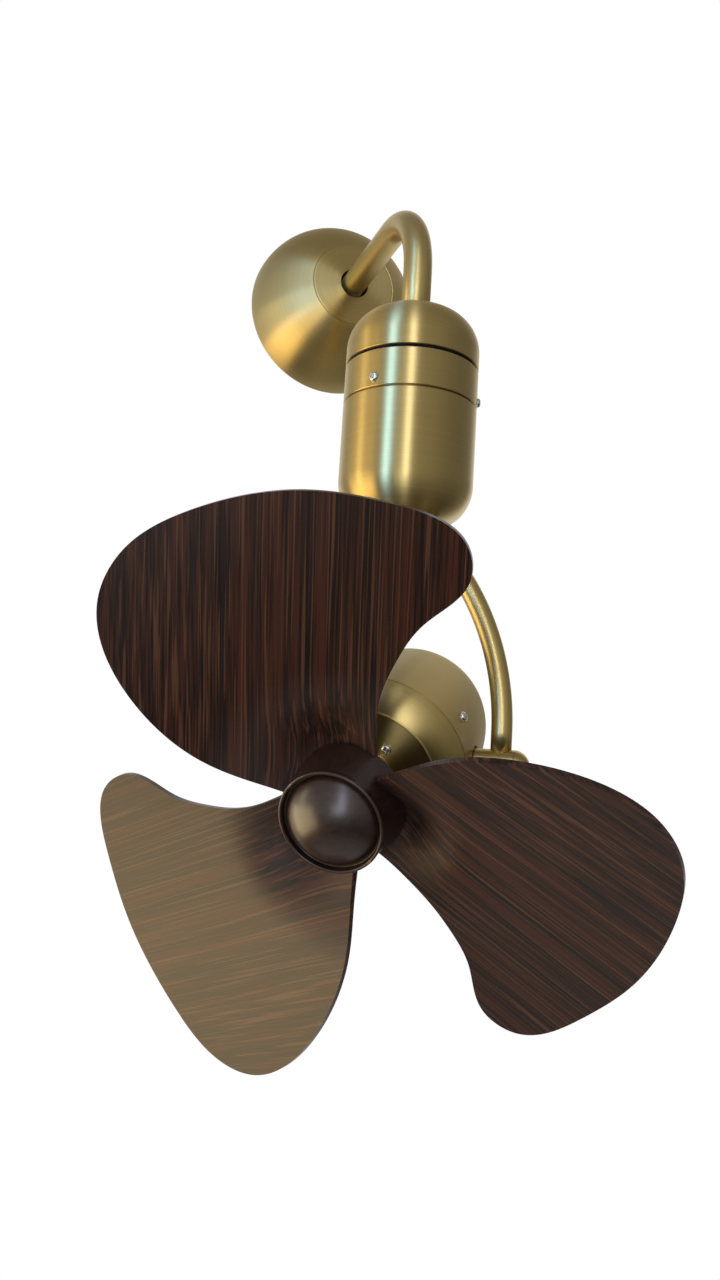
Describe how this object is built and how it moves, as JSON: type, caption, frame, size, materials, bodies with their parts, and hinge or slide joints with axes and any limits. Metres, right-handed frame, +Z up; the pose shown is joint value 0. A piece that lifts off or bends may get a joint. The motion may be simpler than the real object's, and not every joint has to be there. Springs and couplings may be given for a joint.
{
  "type": "wall fan",
  "caption": "Wall fan: a domed canopy and bent neck carry a swinging barrel, whose curved yoke holds a tilting motor head with paddle blades.",
  "frame": {"origin": "middle of the canopy on the wall", "axes": "+Z up, +Y into the wall, +X to the right of someone who faces the wall"},
  "size_m": [0.311, 0.4407, 0.7009],
  "materials": {
    "satin_brass": "brushed satin",
    "nickel_screws": "nickel plated",
    "bare_steel": "machined",
    "painted_bracket": "satin paint",
    "cast_frame": "as cast",
    "motor_can": "zinc plated",
    "core_iron": "stamped sheets",
    "copper_coils": "varnished wire",
    "friction_discs": "matte",
    "hub_lacquer": "dark brown gloss",
    "spinner_gloss": "dark brown gloss",
    "walnut": "dark walnut, satin lacquer"
  },
  "bodies": {
    "mount": {"wall_bracket": "painted_bracket", "collar_grub_screw": "bare_steel", "neck_tube": "satin_brass", "wall_canopy": "satin_brass", "canopy_screw": "nickel_screws", "swivel_cap": "satin_brass", "cap_grub_screw": "bare_steel", "swivel_spindle": "bare_steel", "flange_screws": "nickel_screws", "spindle_gear": "bare_steel", "gear_clip": "bare_steel"},
    "swivel": {"upper_bearing": "bare_steel", "lower_bearing": "bare_steel", "swivel_frame": "cast_frame", "swivel_ring": "satin_brass", "ring_screws": "nickel_screws", "barrel_shell": "satin_brass", "motor_deck": "bare_steel", "deck_posts": "bare_steel", "post_nuts": "bare_steel", "swing_motor": "motor_can", "swing_motor_screws": "nickel_screws", "yoke_stem": "bare_steel", "yoke_hub": "satin_brass", "yoke_arm_left": "satin_brass", "yoke_arm_right": "satin_brass", "knuckle_left": "satin_brass", "knuckle_right": "satin_brass", "knuckle_caps": "satin_brass"},
    "pinion": {"drive_pinion": "bare_steel"},
    "head": {"motor_rear_cover": "satin_brass", "cover_screws": "nickel_screws", "motor_front_cover": "satin_brass", "front_plate": "satin_brass", "front_plate_screws": "nickel_screws", "front_bearing": "bare_steel", "rear_bearing": "bare_steel", "stator_core": "core_iron", "stator_windings": "copper_coils", "pivot_bolts": "bare_steel", "friction_washers": "friction_discs"},
    "rotor": {"motor_shaft": "bare_steel", "hub_nut": "bare_steel", "rotor_core": "core_iron", "blade_hub": "hub_lacquer", "spinner_cap": "spinner_gloss", "blade_1": "walnut", "blade_2": "walnut", "blade_3": "walnut", "blade_screws": "nickel_screws"}
  },
  "joints": [
    {"name": "swing", "type": "hinge", "parent": "mount", "child": "swivel", "pos_m": [0, -0.219, -0.2], "axis": [0, 0, 1], "range_deg": [-19.3, 100.7]},
    {"name": "pinion_turn", "type": "hinge", "parent": "swivel", "child": "pinion", "pos_m": [0.01695, -0.19929, -0.2], "axis": [0, 0, 1], "range_deg": [-30.9, 161.2]},
    {"name": "tilt", "type": "hinge", "parent": "swivel", "child": "head", "pos_m": [0, -0.219, -0.4165], "axis": [0.7581, -0.6521, 0], "range_deg": [-25.7, 49.3]},
    {"name": "spin", "type": "hinge", "parent": "head", "child": "rotor", "pos_m": [-0.00204, -0.22137, -0.41001], "axis": [-0.5876, -0.6831, -0.4337], "continuous": true}
  ],
  "couplings": [
    {"joint": "pinion_turn", "follows": "swing", "ratio": 1.6}
  ]
}
